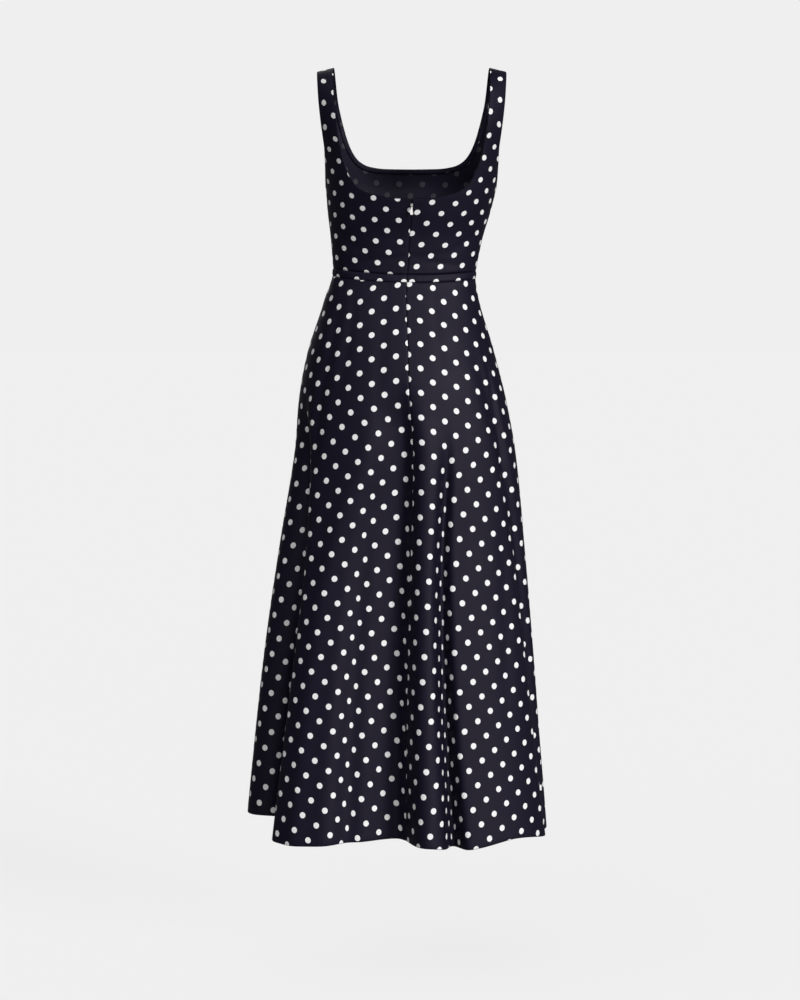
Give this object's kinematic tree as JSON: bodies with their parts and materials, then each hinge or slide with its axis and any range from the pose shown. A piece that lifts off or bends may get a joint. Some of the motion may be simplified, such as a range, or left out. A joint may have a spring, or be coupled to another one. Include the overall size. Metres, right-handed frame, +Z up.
{
  "type": "a-line dress",
  "caption": "Sleeveless A-line midi dress, worn and hollow, with wide-set straps, a scooped square back, a narrow inset waistband, a flared folded skirt and a centre-back zip.",
  "frame": {"origin": "midway between the two shoulder seams, on the line where the straps rest on the wearer's shoulders", "axes": "+Z up along the dress from hem to shoulders, +Y out of the dress's back, -Y out of its front, +X to the wearer's left"},
  "size_m": [0.5035, 0.3232, 1.27],
  "materials": {
    "dotted_cloth": "matt navy-black crepe with a slight sheen and white dots",
    "zip_tape": "woven nylon tape",
    "zip_metal": "pale nickel"
  },
  "bodies": {
    "dress": {"bodice_front": "dotted_cloth", "bodice_back_left": "dotted_cloth", "bodice_back_right": "dotted_cloth", "waistband_front": "dotted_cloth", "waistband_back_left": "dotted_cloth", "waistband_back_right": "dotted_cloth", "skirt_front": "dotted_cloth", "skirt_back_left": "dotted_cloth", "skirt_back_right": "dotted_cloth", "zip_tape": "zip_tape", "zip_slider": "zip_metal"},
    "zip_pull": {"zip_pull": "zip_metal"}
  },
  "joints": [
    {"name": "zip_pull_swing", "type": "hinge", "parent": "dress", "child": "zip_pull", "pos_m": [0.00007, 0.09491, -0.22675], "axis": [1, 0, 0], "range_deg": [0, 160]}
  ]
}
